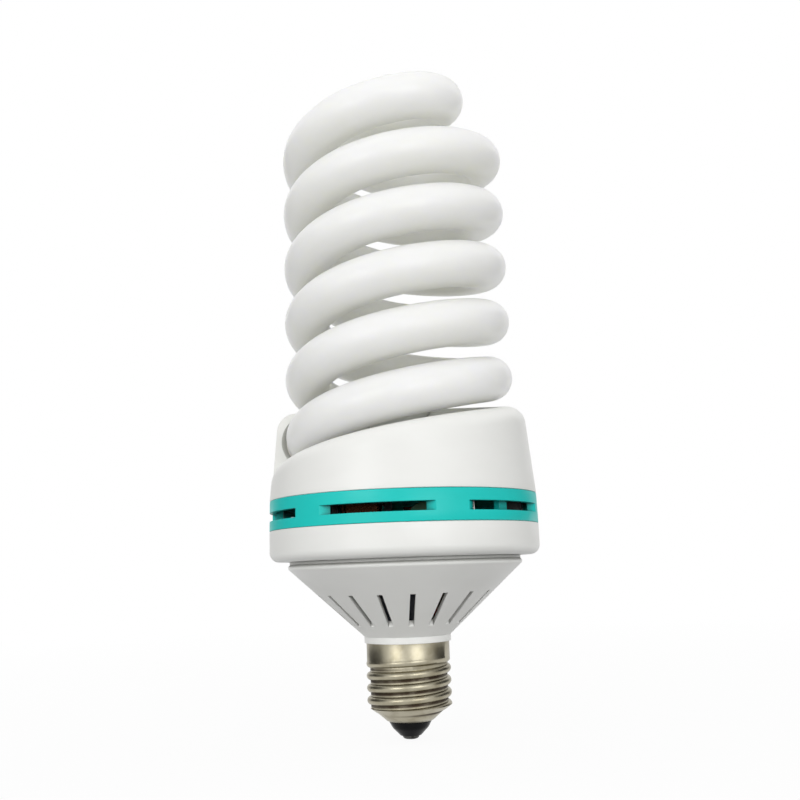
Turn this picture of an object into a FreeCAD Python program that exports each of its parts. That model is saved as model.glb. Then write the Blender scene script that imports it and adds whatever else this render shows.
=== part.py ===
# Spiral energy saving lamp with a screw cap, taken apart into its real pieces.
# Millimetres. +Z runs up the lamp's axis and the origin is the tip of the centre contact.
# Angles are counted from +X towards +Y, so 270 degrees faces the front of the lamp.
import FreeCAD, Part
import math
import os

V = FreeCAD.Vector
ORIGIN = V(0, 0, 0)
UP = V(0, 0, 1)
HELIX_STEP = 60.0           # largest angle between stations on a helix

# Fits
FACE_GAP = 0.1              # pieces that slide into one another
SLEEVE_GAP = 0.05           # cement sleeve to glass and to port

# Screw cap
THREAD_PITCH = 3.629        # seven turns to the inch
THREAD_CREST_R = 13.1
THREAD_ROOT_R = 11.95
THREAD_RIDGE_R = 1.25       # rounded ridge of the rolled thread
THREAD_LOW_Z = 9.9          # lowest full crest, on the +X side
RUN_OUT_SLOPE = 1.4         # radius gained per height where the thread starts
SHELL_WALL = 0.4
SHELL_LIP_R = 6.9
SHELL_LIP_Z = 5.6
TAPER_TOP_Z = 9.6
COLLAR_R = 12.9
COLLAR_LOW_Z = 23.2
CAP_TOP_Z = 29.0
COLLAR_STEP = 0.9           # slope between collar and thread
INSULATOR_TOP_Z = 8.2
INSULATOR_WAIST_R = 5.6     # flank of the insulator between lip and tip
INSULATOR_WAIST_Z = 3.4
INSULATOR_ROUND = 4.0
INSULATOR_TIP_R = 3.3
INSULATOR_TIP_Z = 1.1
CONTACT_R = 2.6
CONTACT_ROUND = 0.7
STEM_R = 1.2
STEM_TOP_Z = 9.0

# Lower case
CASE_WALL = 1.3
SPIGOT_LOW_Z = 13.0
SPIGOT_WALL = 1.6
NECK_R = 13.5
CONE_LOW_Z = 30.9
CONE_TOP_R = 37.2
CONE_TOP_Z = 52.5
CONE_LIP = 0.9              # rounded lip at the top of the cone
RIM_LOW_Z = 54.4
RIM_CORNER = 3.0
RING_R = 42.5               # outside of rim and ring where they meet
EDGE_ROUND = 0.3            # edges where rim, ring and cover meet
RING_LOW_Z = 63.9
RIM_WALL = 2.2
GROOVE_R = 36.3             # bottom of the groove between cone lip and rim
VENT_COUNT = 18
VENT_FIRST = 274.0          # angle of one cone vent
VENT_WIDTH = 1.6
VENT_IN_R = 17.3
VENT_OUT_R = 27.8

# Vent ring
RING_DRAFT = 0.2            # ring narrower at its top
RING_TOP_Z = 73.2
RING_WALL = 2.2
HOOP_WALL = 2.0             # inner hoops that plug into case and cover
HOOP_TOP_Z = 76.2
BAND = 1.4                  # solid band behind the slots' upper and lower edges
SLOT_COUNT = 6
SLOT_FIRST = 259.2
SLOT_HALF = 20.0            # half angle of a slot at its inner face
SLOT_FLARE = 3.4            # extra half angle at the outer face
SLOT_LOW_Z = 66.9
SLOT_TOP_Z = 69.6
LEG_ANGLES = (316.0, 3.0)   # latch legs, each with its twin across the ring
LEG_HALF = 2.4

# Spiral tube
TUBE_R = 7.2
GLASS_WALL = 1.0
SEAL_WALL = 3.5             # glass at the sealed ends
COIL_R = 29.7
COIL_PITCH = 37.5           # rise of one arm in a full turn; the arms lie half of it apart
PORT_Z = 92.75              # tube axis where it leaves the cover
COIL_TURN = 998.0           # degrees from the port to the start of the crossing
CROSSING_Z = 205.5
TUBE_TAIL = 38.0            # degrees of tube hidden in the cover
SEAL_FLAT = 2.4             # flat of the sealed end, between its rounded edges
CROSSING_STEPS = 3
FILAMENT_R = 0.5            # outside of the coiled filament
FILAMENT_LENGTH = 4.0
SUPPORT_LENGTH = 9.0

# Tube cover
COVER_DRAFT = 5.2
COVER_WALL = 1.4
COVER_EDGE = 6.0            # rounded outer edge of the ramps
HUB_R = 10.0
HUB_RISE = 1.0
RAMP_STEPS = 6              # stations of the ramp surface in its half turn
STEP_WALL = 2.6
PORT_GAP = 0.4              # room for the cement sleeve
PORT_EDGE = 0.375           # left between the port's countersink and the ramps
PORT_FLARE_DEPTH = 1.2

# Ballast board and wiring
BOARD_T = 1.6
BOARD_GAP = 0.3
NOTCH_R = 1.5               # half-round notches in the board's edge
LEAD_R = 0.3                # electrode leads
LEAD_SPREAD = 1.3
LEAD_REACH = 6.0
LEAD_BEND = 2.5
PIN_SIDE = 1.0
PIN_HEIGHT = 8.0
SUPPLY_R = 0.6
SUPPLY_GAP = 0.3
SUPPLY_BEND = 3.0
SUPPLY_TURN_Z = 22.0        # where the supply leads reach the neck

# Ballast components, with their centres on the board and insets from the board's edge
BULK_R = 8.0
BULK_LENGTH = 23.0
BULK_CRIMP = 0.7
BULK_CRIMP_AT = 3.0
CHOKE_W = 19.0
CHOKE_D = 8.0
CHOKE_H = 16.0
CHOKE_LIMB = 4.8
CHOKE_COIL_D = 14.0
BOBBIN_WALL = 0.8
BOBBIN_GAP = 0.1
COIL_INSET = 0.6            # winding inside the bobbin's flanges
COIL_ROUND = 2.0
CHOKE_AT = (-13.0, -8.0)
TOROID_R = 6.0
TOROID_BORE = 3.2
TOROID_H = 5.0
TOROID_AT = (8.0, -8.0)
WRAP_COUNT = 3
WRAP_T = 0.7
WRAP_HALF = 22.0
TRANSISTOR_W = 10.0
TRANSISTOR_T = 4.4
TRANSISTOR_H = 9.2
TAB_H = 6.2
TAB_T = 1.3
TAB_HOLE_R = 1.8
TERMINAL_SIDE = 0.8
TERMINAL_STEP = 2.54
STANDOFF = 3.0              # height of the terminals above the board
TRANSISTOR_INSET = 6.0
TRANSISTOR_YS = (6.0, -6.0)
RESONANT_CAP = (16.0, 7.0, 13.0)
RESONANT_AT = (8.0, 12.0)
FILM_CAP = (12.0, 6.0, 10.0)
FILM_X = -8.0
FILM_INSETS = (26.0, 13.0)
CAP_ROUND = 1.5
FILTER_R = 4.2
FILTER_H = 10.0
FILTER_FLANGE = 1.4
FILTER_NECK = 0.8
FILTER_Y = 4.0
FILTER_INSET = 11.0
THERMISTOR_R = 4.5
THERMISTOR_T = 3.6
THERMISTOR_X = 6.0
THERMISTOR_INSET = 14.0
FUSE_R = 2.0
FUSE_LENGTH = 9.0
FUSE_X = 10.0
FUSE_INSET = 12.0
DIODE_R = 1.4
DIODE_LENGTH = 5.2
DIODE_COUNT = 4
DIODE_STEP = 5.5
DIODE_X = -12.0
DIODE_INSET = 15.0
AXIAL_LEAD_R = 0.4
AXIAL_REACH = 1.8           # straight lead at each end of an axial part
AXIAL_LIFT = 0.5            # gap under an axial part

# Worked out from the sizes above
THREAD_AXIS_R = THREAD_CREST_R - THREAD_RIDGE_R
SHELL_BORE_R = THREAD_ROOT_R - SHELL_WALL
BOARD_LOW_Z = RIM_LOW_Z + RIM_WALL
BOARD_TOP_Z = BOARD_LOW_Z + BOARD_T
RIM_BORE_R = RING_R - RIM_WALL
RING_TOP_R = RING_R - RING_DRAFT
BOARD_R = RIM_BORE_R - BOARD_GAP
RAMP_RISE = COIL_PITCH / 2
RAMP_DROP = RAMP_RISE / 2
PORT_R = TUBE_R + PORT_GAP
PORT_FLARE = RAMP_DROP - PORT_R - PORT_EDGE
RAMP_LOW_Z = PORT_Z - RAMP_DROP
RAMP_TOP_Z = RAMP_LOW_Z + RAMP_RISE
DRAFT_SLOPE = math.tan(math.radians(COVER_DRAFT))
SPIGOT_R = SHELL_BORE_R - FACE_GAP
SPIGOT_BORE_R = SPIGOT_R - SPIGOT_WALL
BULK_LOW_Z = BOARD_LOW_Z - BULK_LENGTH
SUPPLY_SIDE = BULK_R + SUPPLY_R + SUPPLY_GAP
COLLAR_BORE_R = COLLAR_R - SHELL_WALL
TRANSISTOR_X = BOARD_R - TRANSISTOR_INSET
FILM_AT = [(FILM_X, BOARD_R - inset) for inset in FILM_INSETS]
FILTER_AT = (FILTER_INSET - BOARD_R, FILTER_Y)
THERMISTOR_AT = (THERMISTOR_X, THERMISTOR_INSET - BOARD_R)
FUSE_AT = (FUSE_X, BOARD_R - FUSE_INSET)
DIODE_AT = (DIODE_X, DIODE_INSET - BOARD_R)


def polar(radius, angle, z=0.0):
    """Point at a radius and an angle in degrees about the lamp's axis."""
    turn = math.radians(angle)
    return V(radius * math.cos(turn), radius * math.sin(turn), z)


def turned(shape, angle):
    """Copy of a shape turned about the lamp's axis."""
    copy = shape.copy()
    copy.rotate(ORIGIN, UP, angle)
    return copy


def ring_of(shape, count):
    """Copies of a shape spread evenly round the axis."""
    return [turned(shape, 360.0 * step / count) for step in range(count)]


def corner_arc(entry, corner, leave):
    """Arc tangent to both legs of a corner, whose two legs are equally long."""
    back = entry - corner
    ahead = leave - corner
    half = back.getAngle(ahead) / 2
    radius = back.Length * math.tan(half)
    inward = (back + ahead).normalize() * (radius / math.sin(half) - radius)
    return Part.Arc(entry, corner + inward, leave).toShape()


def rounded_edges(corners, closed):
    """Edges through (point, radius) corners, each corner replaced by a tangent arc."""
    total = len(corners)
    rounded = range(total) if closed else range(1, total - 1)
    entry = [point for point, radius in corners]
    leave = list(entry)
    for i in rounded:
        point, radius = corners[i]
        back = (corners[i - 1][0] - point).normalize()
        ahead = (corners[(i + 1) % total][0] - point).normalize()
        reach = radius / math.tan(back.getAngle(ahead) / 2)
        entry[i] = point + back * reach
        leave[i] = point + ahead * reach
    edges = []
    for i in range(total):
        if i in rounded and corners[i][1] > 0:
            edges.append(corner_arc(entry[i], corners[i][0], leave[i]))
        if closed or i < total - 1:
            edges.append(Part.LineSegment(leave[i], entry[(i + 1) % total]).toShape())
    return edges


def arc_chain(stations):
    """Edges through (point, direction) stations: two tangent arcs from each to the next."""
    edges = []
    for (start, leaving), (end, arriving) in zip(stations, stations[1:]):
        chord = end - start
        both = leaving + arriving
        a = both.dot(both) - 4
        b = -2 * chord.dot(both)
        reach = (-b - math.sqrt(b * b - 4 * a * chord.dot(chord))) / (2 * a)
        first = start + leaving * reach
        second = end - arriving * reach
        middle = (first + second) / 2
        edges += [corner_arc(start, first, middle), corner_arc(middle, second, end)]
    return edges


def helix_stations(radius, pitch, low_angle, high_angle, low_z):
    """Points and directions along a rising helix, evenly spaced."""
    count = math.ceil((high_angle - low_angle) / HELIX_STEP)
    stations = []
    for step in range(count + 1):
        angle = low_angle + (high_angle - low_angle) * step / count
        ahead = polar(2 * math.pi * radius, angle + 90.0, pitch).normalize()
        stations.append((polar(radius, angle, low_z + pitch * (angle - low_angle) / 360.0), ahead))
    return stations


def turned_solid(profile):
    """Solid of revolution from (radius, z) or (radius, z, corner radius) points."""
    corners = []
    for item in profile:
        corner_radius = item[2] if len(item) > 2 else 0.0
        corners.append((V(item[0], 0, item[1]), corner_radius))
    face = Part.Face(Part.Wire(rounded_edges(corners, True)))
    return face.revolve(ORIGIN, UP, 360)


def sector(r_in, r_out, z_low, z_top, start, sweep):
    """Part of a tube wall between two angles."""
    outline = Part.Face(Part.Wire(rounded_edges([
        (V(r_in, 0, z_low), 0), (V(r_out, 0, z_low), 0),
        (V(r_out, 0, z_top), 0), (V(r_in, 0, z_top), 0)], True)))
    return turned(outline.revolve(ORIGIN, UP, sweep), start)


def block(size, centre, z_low):
    """Upright box from (x, y, z) sizes, a centre in plan and its lowest level."""
    return Part.makeBox(size[0], size[1], size[2],
                        V(centre[0] - size[0] / 2, centre[1] - size[1] / 2, z_low))


def rounded_block(size, centre, z_low, corner):
    """Upright box with rounded upright edges."""
    box = block(size, centre, z_low)
    upright = [edge for edge in box.Edges if edge.tangentAt(0).cross(UP).Length < 0.5]
    return box.makeFillet(corner, upright)


def pipe(path, radius):
    """Round solid along a wire."""
    first = path.OrderedEdges[0]
    start = path.OrderedVertexes[0].Point
    at_start = first.valueAt(first.FirstParameter).distanceToPoint(start) < 1e-6
    ahead = first.tangentAt(first.FirstParameter if at_start else first.LastParameter)
    circle = Part.Wire(Part.Circle(start, ahead, radius).toShape())
    return path.makePipeShell([circle], True, False)


def bent_wire(points, bend, radius):
    """Round wire along straight runs joined by tangent bends."""
    corners = [(point, bend) for point in points]
    return pipe(Part.Wire(rounded_edges(corners, False)), radius)


def arm_stations(low, high):
    """Stations along the first arm's axis, by angles past its port at 180 degrees."""
    low_z = PORT_Z + COIL_PITCH * low / 360.0
    return helix_stations(COIL_R, COIL_PITCH, 180.0 + low, 180.0 + high, low_z)


def crossing_stations():
    """Stations from the end of the first arm to the lamp's axis, on a half circle in plan."""
    start, ahead = arm_stations(COIL_TURN, COIL_TURN + HELIX_STEP)[0]
    first_angle = 180.0 + COIL_TURN
    centre = polar(COIL_R / 2, first_angle)
    length = math.pi * COIL_R / 2
    first_rise = length * ahead.z / math.hypot(ahead.x, ahead.y)
    rise = CROSSING_Z - start.z
    square = 3 * rise - 2 * first_rise
    cube = first_rise - 2 * rise
    stations = []
    for step in range(CROSSING_STEPS + 1):
        u = step / CROSSING_STEPS
        z = start.z + first_rise * u + square * u ** 2 + cube * u ** 3
        slope = (first_rise + 2 * square * u + 3 * cube * u ** 2) / length
        angle = first_angle + 180.0 * u
        stations.append((centre + polar(COIL_R / 2, angle, z), polar(1, angle + 90.0, slope).normalize()))
    return stations


def tube_path(inset):
    """Axis of both arms and of the crossing between them, set in from the tube's ends."""
    low = math.degrees(inset / COIL_R) - TUBE_TAIL
    half = arm_stations(low, 0.0) + arm_stations(0.0, COIL_TURN)[1:] + crossing_stations()[1:]
    other = [(V(-p.x, -p.y, p.z), V(d.x, d.y, -d.z)) for p, d in reversed(half[:-1])]
    return Part.Wire(arc_chain(half + other))


def spiral_tube():
    """Hollow glass tube with rounded ends: two arms side by side, joined by the crossing at the top."""
    path = tube_path(0.0)
    glass = pipe(path, TUBE_R)
    ends = [path.OrderedVertexes[place].Point for place in (0, -1)]
    rims = [edge for edge in glass.Edges
            if min(edge.CenterOfMass.distanceToPoint(end) for end in ends) < TUBE_R / 100]
    return glass.makeFillet(TUBE_R - SEAL_FLAT, rims).cut(pipe(tube_path(SEAL_WALL), TUBE_R - GLASS_WALL))


def electrodes():
    """Filament across two supports inside each sealed end of the tube."""
    angle = math.degrees(SEAL_WALL / COIL_R) - TUBE_TAIL
    seal, ahead = arm_stations(angle, 0.0)[0]
    outward = polar(1, 180.0 + angle)
    across = Part.makeCylinder(FILAMENT_R, FILAMENT_LENGTH,
                               seal + ahead * SUPPORT_LENGTH - outward * (FILAMENT_LENGTH / 2), outward)
    supports = [Part.makeCylinder(LEAD_R, SUPPORT_LENGTH, seal + outward * (side * LEAD_SPREAD), ahead)
                for side in (-1, 1)]
    first = across.fuse(supports)
    return Part.makeCompound([first, turned(first, 180)])


def ramp_wedge(inset, in_r, low_z):
    """Half of the cover's body under one ramp, taken in from its outer skin."""
    base_r = RING_TOP_R - inset
    low_round = EDGE_ROUND if inset == 0 else 0
    sections = []
    for step in range(RAMP_STEPS + 1):
        top = RAMP_LOW_Z - inset + RAMP_RISE * step / RAMP_STEPS
        corners = [
            (V(in_r, 0, low_z), 0),
            (V(base_r - DRAFT_SLOPE * (low_z - RING_TOP_Z), 0, low_z), low_round),
            (V(base_r - DRAFT_SLOPE * (top - RING_TOP_Z), 0, top), COVER_EDGE - inset),
            (V(in_r, 0, top), 0)]
        section = Part.Wire(rounded_edges(corners, True))
        sections.append(turned(section, 180.0 * step / RAMP_STEPS))
    return Part.makeLoft(sections, True, False)


def port_path():
    """Tube axis through the wall of the first port."""
    reach = 2 * math.degrees(STEP_WALL / COIL_R)
    return Part.Wire(arc_chain(arm_stations(-reach, 0.0) + arm_stations(0.0, reach)[1:]))


def hub_post(radius, low_z, top_z):
    """Round post in the middle of the cover."""
    return Part.makeCylinder(radius, top_z - low_z, V(0, 0, low_z))


def tube_cover():
    """Upper cover: a drafted cup whose roof is two half-turn ramps with a step at each end."""
    overlap = HUB_R / 10
    hub_top = RAMP_TOP_Z + HUB_RISE
    wedge = ramp_wedge(0.0, HUB_R - overlap, RING_TOP_Z)
    body = hub_post(HUB_R, RING_TOP_Z, hub_top).fuse([wedge, turned(wedge, 180)])
    below = RING_TOP_Z - COVER_WALL
    room_hub = HUB_R - COVER_WALL
    room = ramp_wedge(COVER_WALL, room_hub - overlap, below)
    step = Part.makeBox(RING_R, STEP_WALL, 2 * RAMP_RISE, V(-RING_R, 0, RAMP_LOW_Z - COVER_EDGE))
    room = room.cut(step)
    room = hub_post(room_hub, below, hub_top - COVER_WALL).fuse([room, turned(room, 180)])
    wall = Part.makeBox(RING_R, 2 * STEP_WALL + FACE_GAP, 2 * RAMP_RISE, V(-RING_R, -STEP_WALL, RAMP_LOW_Z))
    port = pipe(port_path(), PORT_R).common(wall)
    flare = Part.makeCone(PORT_R + PORT_FLARE, PORT_R - PORT_FLARE, 2 * PORT_FLARE_DEPTH,
                          V(-COIL_R, 0, PORT_Z), V(0, 1, 0))
    return body.cut(room).cut([port, turned(port, 180), flare, turned(flare, 180)]).removeSplitter()


def tube_cement():
    """Cement sleeves that hold the tube in the two ports."""
    sleeve = pipe(port_path(), PORT_R - SLEEVE_GAP)
    sleeve = sleeve.cut(pipe(port_path(), TUBE_R + SLEEVE_GAP))
    wall = Part.makeBox(RING_R, STEP_WALL - PORT_FLARE_DEPTH, 2 * RAMP_RISE,
                        V(-RING_R, PORT_FLARE_DEPTH, PORT_Z - RAMP_RISE))
    sleeve = sleeve.common(wall)
    return Part.makeCompound([sleeve, turned(sleeve, 180)])


def vent_ring():
    """Coloured ring with six flared slots, hoops that plug into both shells and four latch legs."""
    wall_in = RING_R - RING_WALL
    lower_r = RIM_BORE_R - FACE_GAP
    upper_r = RING_TOP_R - COVER_WALL - DRAFT_SLOPE * (HOOP_TOP_Z - RING_TOP_Z) - FACE_GAP
    hoop_in = lower_r - HOOP_WALL
    ring = turned_solid([
        (RING_R, RING_LOW_Z, EDGE_ROUND), (RING_TOP_R, RING_TOP_Z, EDGE_ROUND),
        (upper_r, RING_TOP_Z), (upper_r, HOOP_TOP_Z), (hoop_in, HOOP_TOP_Z),
        (hoop_in, SLOT_TOP_Z + BAND), (wall_in, SLOT_TOP_Z + BAND),
        (wall_in, SLOT_LOW_Z - BAND), (hoop_in, SLOT_LOW_Z - BAND),
        (hoop_in, BOARD_TOP_Z), (lower_r, BOARD_TOP_Z), (lower_r, RING_LOW_Z)])
    inner = [polar(wall_in, side * SLOT_HALF, SLOT_LOW_Z) for side in (-1, 1)]
    outer = [polar(RING_R, side * (SLOT_HALF + SLOT_FLARE), SLOT_LOW_Z) for side in (-1, 1)]
    runs = [far - near for near, far in zip(inner, outer)]
    corners = [inner[0] - runs[0], inner[0] + runs[0] * 2, V(2 * RING_R, 0, SLOT_LOW_Z),
               inner[1] + runs[1] * 2, inner[1] - runs[1]]
    outline = Part.Face(Part.Wire(rounded_edges([(point, 0) for point in corners], True)))
    slot = turned(outline.extrude(UP * (SLOT_TOP_Z - SLOT_LOW_Z)), SLOT_FIRST)
    ring = ring.cut(ring_of(slot, SLOT_COUNT))
    leg = sector(hoop_in, wall_in, SLOT_LOW_Z - BAND, SLOT_TOP_Z + BAND, -LEG_HALF, 2 * LEG_HALF)
    legs = [twin for angle in LEG_ANGLES for twin in ring_of(turned(leg, angle), 2)]
    return ring.fuse(legs).removeSplitter()


def ballast_case():
    """Lower case: neck on the cap, cone with a ring of vents, and the rim that carries the board."""
    run = V(CONE_TOP_R - NECK_R, 0, CONE_TOP_Z - CONE_LOW_Z)
    normal = V(-run.z, 0, run.x).normalize() * CASE_WALL
    bore_top = CONE_LOW_Z + normal.z + (SPIGOT_BORE_R - NECK_R - normal.x) * run.z / run.x
    cone_in = (CONE_TOP_R + normal.x, CONE_TOP_Z + normal.z)
    case = turned_solid([
        (SPIGOT_BORE_R, CAP_TOP_Z), (NECK_R, CAP_TOP_Z), (NECK_R, CONE_LOW_Z),
        (CONE_TOP_R, CONE_TOP_Z, CONE_LIP), (GROOVE_R, CONE_TOP_Z + CONE_LIP), (GROOVE_R, RIM_LOW_Z),
        (RING_R, RIM_LOW_Z, RIM_CORNER), (RING_R, RING_LOW_Z, EDGE_ROUND), (RIM_BORE_R, RING_LOW_Z),
        (RIM_BORE_R, BOARD_LOW_Z), (cone_in[0], BOARD_LOW_Z), cone_in, (SPIGOT_BORE_R, bore_top)])
    vent = Part.makeBox(VENT_OUT_R - VENT_IN_R, VENT_WIDTH, CONE_TOP_Z - CONE_LOW_Z,
                        V(VENT_IN_R, -VENT_WIDTH / 2, CONE_LOW_Z))
    return case.cut(ring_of(turned(vent, VENT_FIRST), VENT_COUNT))


def cap_spigot():
    """Sleeve under the case's neck that carries the cap."""
    collar_in = COLLAR_BORE_R - FACE_GAP
    return turned_solid([
        (SPIGOT_BORE_R, SPIGOT_LOW_Z), (SPIGOT_R, SPIGOT_LOW_Z), (SPIGOT_R, COLLAR_LOW_Z),
        (collar_in, COLLAR_LOW_Z + COLLAR_STEP), (collar_in, CAP_TOP_Z), (SPIGOT_BORE_R, CAP_TOP_Z)])


def screw_shell():
    """Thin cap shell with a rolled thread, a plain collar and a lip that holds the insulator."""
    body = turned_solid([
        (0, SHELL_LIP_Z), (SHELL_LIP_R + SHELL_WALL, SHELL_LIP_Z),
        (THREAD_ROOT_R, TAPER_TOP_Z), (THREAD_ROOT_R, COLLAR_LOW_Z - COLLAR_STEP),
        (COLLAR_R, COLLAR_LOW_Z), (COLLAR_R, CAP_TOP_Z), (0, CAP_TOP_Z)])
    low_z = THREAD_LOW_Z - THREAD_PITCH
    turns = (COLLAR_LOW_Z + COLLAR_STEP - low_z) / THREAD_PITCH
    thread = arc_chain(helix_stations(THREAD_AXIS_R, THREAD_PITCH, 0.0, 360.0 * turns, low_z))
    chamfer = turned_solid([
        (0, SHELL_LIP_Z), (SHELL_LIP_R, SHELL_LIP_Z),
        (SHELL_LIP_R + (CAP_TOP_Z - SHELL_LIP_Z) * RUN_OUT_SLOPE, CAP_TOP_Z), (0, CAP_TOP_Z)])
    ridge = pipe(Part.Wire(thread), THREAD_RIDGE_R).common(chamfer)
    bore = turned_solid([
        (0, SHELL_LIP_Z - SHELL_WALL), (SHELL_LIP_R, SHELL_LIP_Z - SHELL_WALL),
        (SHELL_LIP_R, SHELL_LIP_Z + SHELL_WALL), (SHELL_LIP_R + SHELL_WALL, SHELL_LIP_Z + SHELL_WALL),
        (SHELL_BORE_R, TAPER_TOP_Z + SHELL_WALL), (SHELL_BORE_R, COLLAR_LOW_Z),
        (COLLAR_BORE_R, COLLAR_LOW_Z + COLLAR_STEP),
        (COLLAR_BORE_R, CAP_TOP_Z + SHELL_WALL), (0, CAP_TOP_Z + SHELL_WALL)])
    return body.fuse(ridge).cut(bore)


def cap_insulator():
    """Black glass plug that sits on the shell's lip and narrows to the contact."""
    bore_r = STEM_R + FACE_GAP
    lip_r = SHELL_LIP_R - FACE_GAP
    seat_z = SHELL_LIP_Z + SHELL_WALL
    widening = (SHELL_BORE_R - SHELL_LIP_R - SHELL_WALL) / (TAPER_TOP_Z - SHELL_LIP_Z)
    seat_r = SHELL_LIP_R + SHELL_WALL - FACE_GAP
    return turned_solid([
        (bore_r, INSULATOR_TIP_Z), (INSULATOR_TIP_R, INSULATOR_TIP_Z),
        (INSULATOR_WAIST_R, INSULATOR_WAIST_Z, INSULATOR_ROUND),
        (lip_r, SHELL_LIP_Z), (lip_r, seat_z), (seat_r, seat_z),
        (seat_r + widening * (INSULATOR_TOP_Z - seat_z), INSULATOR_TOP_Z), (bore_r, INSULATOR_TOP_Z)])


def centre_contact():
    """Contact button with a stem that comes up through the insulator."""
    return turned_solid([
        (0, 0), (CONTACT_R, 0, CONTACT_ROUND), (CONTACT_R, INSULATOR_TIP_Z),
        (STEM_R, INSULATOR_TIP_Z), (STEM_R, STEM_TOP_Z), (0, STEM_TOP_Z)])


def circuit_board():
    """Round board on the rim's shoulder, with two notches in its edge."""
    board = Part.makeCylinder(BOARD_R, BOARD_T, V(0, 0, BOARD_LOW_Z))
    notch = Part.makeCylinder(NOTCH_R, BOARD_T, polar(BOARD_R, LEG_ANGLES[0], BOARD_LOW_Z))
    return board.cut(ring_of(notch, 2))


def bulk_capacitor():
    """Electrolytic capacitor that hangs from the board into the cone."""
    crimp_z = BOARD_LOW_Z - BULK_CRIMP_AT
    return turned_solid([
        (0, BOARD_LOW_Z), (BULK_R, BOARD_LOW_Z, BULK_CRIMP), (BULK_R, crimp_z + BULK_CRIMP),
        (BULK_R - BULK_CRIMP, crimp_z), (BULK_R, crimp_z - BULK_CRIMP),
        (BULK_R, BULK_LOW_Z, BULK_CRIMP), (0, BULK_LOW_Z)])


def choke_core():
    """Ferrite core with two windows and a middle limb."""
    yoke = CHOKE_LIMB / 2
    window = (CHOKE_W - 2 * CHOKE_LIMB) / 2
    core = block((CHOKE_W, CHOKE_D, CHOKE_H), CHOKE_AT, BOARD_TOP_Z)
    for side in (-1, 1):
        at = (CHOKE_AT[0] + side * (CHOKE_LIMB + window) / 2, CHOKE_AT[1])
        core = core.cut(block((window, CHOKE_D, CHOKE_H - 2 * yoke), at, BOARD_TOP_Z + yoke))
    return core


def choke_bobbin():
    """Plastic bobbin round the middle limb, with a flange at each yoke."""
    low = BOARD_TOP_Z + CHOKE_LIMB / 2
    height = CHOKE_H - CHOKE_LIMB
    bore = (CHOKE_LIMB + 2 * BOBBIN_GAP, CHOKE_D + 2 * BOBBIN_GAP, height)
    flange = (CHOKE_W - CHOKE_LIMB - 2 * BOBBIN_GAP, CHOKE_COIL_D, BOBBIN_WALL)
    barrel = block((bore[0] + 2 * BOBBIN_WALL, bore[1] + 2 * BOBBIN_WALL, height), CHOKE_AT, low)
    top = block(flange, CHOKE_AT, low + height - BOBBIN_WALL)
    return barrel.fuse([block(flange, CHOKE_AT, low), top]).cut(block(bore, CHOKE_AT, low))


def choke_winding():
    """Copper winding between the bobbin's flanges."""
    low = BOARD_TOP_Z + CHOKE_LIMB / 2 + BOBBIN_WALL
    height = CHOKE_H - CHOKE_LIMB - 2 * BOBBIN_WALL
    skin = 2 * (BOBBIN_GAP + BOBBIN_WALL)
    outer = (CHOKE_W - CHOKE_LIMB - 2 * (BOBBIN_GAP + COIL_INSET), CHOKE_COIL_D - 2 * COIL_INSET, height)
    coil = rounded_block(outer, CHOKE_AT, low, COIL_ROUND)
    return coil.cut(block((CHOKE_LIMB + skin, CHOKE_D + skin, height), CHOKE_AT, low))


def drive_toroid():
    """Ferrite ring of the drive transformer, held off the board by its windings."""
    at = V(TOROID_AT[0], TOROID_AT[1], BOARD_TOP_Z + WRAP_T)
    ring = Part.makeCylinder(TOROID_R, TOROID_H, at)
    return ring.cut(Part.makeCylinder(TOROID_BORE, TOROID_H, at))


def drive_windings():
    """Short windings round the drive ring."""
    low = BOARD_TOP_Z + WRAP_T
    around = sector(TOROID_BORE - WRAP_T, TOROID_R + WRAP_T, low - WRAP_T, low + TOROID_H + WRAP_T,
                    -WRAP_HALF, 2 * WRAP_HALF)
    inside = sector(TOROID_BORE, TOROID_R, low, low + TOROID_H, -2 * WRAP_HALF, 4 * WRAP_HALF)
    wraps = Part.makeCompound(ring_of(around.cut(inside), WRAP_COUNT))
    wraps.translate(V(TOROID_AT[0], TOROID_AT[1], 0))
    return wraps


def transistor(y):
    """Upright power transistor on three terminals, its tab towards the rim."""
    low = BOARD_TOP_Z + STANDOFF
    back = TRANSISTOR_X + TRANSISTOR_T / 2
    body = block((TRANSISTOR_T, TRANSISTOR_W, TRANSISTOR_H), (TRANSISTOR_X, y), low)
    tab = block((TAB_T, TRANSISTOR_W, TAB_H), (back - TAB_T / 2, y), low + TRANSISTOR_H)
    hole = Part.makeCylinder(TAB_HOLE_R, TRANSISTOR_T,
                             V(TRANSISTOR_X, y, low + TRANSISTOR_H + TAB_H / 2), V(1, 0, 0))
    terminals = []
    for place in (-1, 0, 1):
        at = (TRANSISTOR_X, y + place * TERMINAL_STEP)
        terminals.append(block((TERMINAL_SIDE, TERMINAL_SIDE, STANDOFF), at, BOARD_TOP_Z))
    return body.fuse([tab.cut(hole)] + terminals)


def switching_transistors():
    """The pair of switching transistors."""
    return Part.makeCompound([transistor(y) for y in TRANSISTOR_YS])


def resonant_capacitor():
    """Capacitor in series with the tube."""
    return rounded_block(RESONANT_CAP, RESONANT_AT, BOARD_TOP_Z, CAP_ROUND)


def film_capacitors():
    """Coupling and snubber capacitors."""
    return Part.makeCompound([rounded_block(FILM_CAP, at, BOARD_TOP_Z, CAP_ROUND) for at in FILM_AT])


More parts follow.
